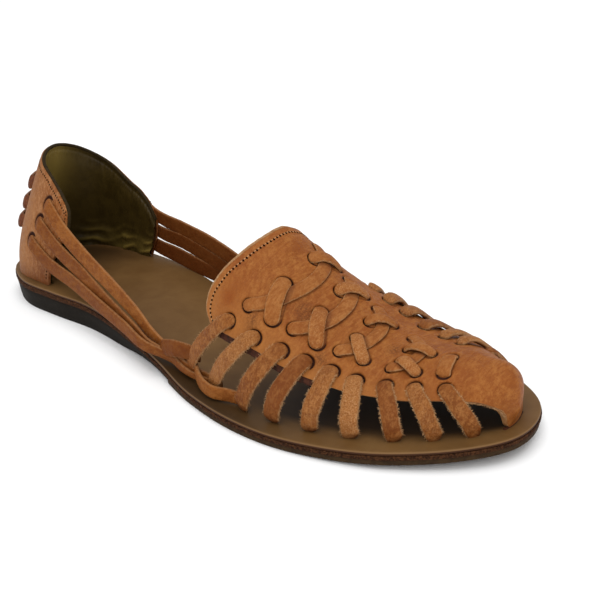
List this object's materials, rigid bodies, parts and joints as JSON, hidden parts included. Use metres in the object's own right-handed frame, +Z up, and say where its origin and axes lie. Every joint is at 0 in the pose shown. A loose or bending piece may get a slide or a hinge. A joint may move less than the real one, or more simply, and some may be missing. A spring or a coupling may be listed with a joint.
{
  "type": "huarache sandal",
  "caption": "Right woven leather huarache sandal: open strapped sides, raised weave on the vamp, heel cup tied on by long straps, flat sole.",
  "frame": {"origin": "bottom centre of the bounding box, on the floor", "axes": "+Z up, +Y towards the toe along the length, +X towards the outer side of the foot"},
  "size_m": [0.089, 0.262, 0.0641],
  "materials": {
    "tan_leather": "vegetable-tanned tan leather, low sheen",
    "footbed_leather": "smooth brown footbed leather",
    "edge_leather": "raw reddish-brown cut edge",
    "forefoot_rubber": "matte olive-brown rubber",
    "heel_rubber": "matte black rubber"
  },
  "bodies": {
    "root": {"insole": "footbed_leather", "midsole": "edge_leather", "heel": "heel_rubber", "outsole": "forefoot_rubber", "upper": "tan_leather", "heel_counter": "tan_leather"}
  },
  "joints": []
}
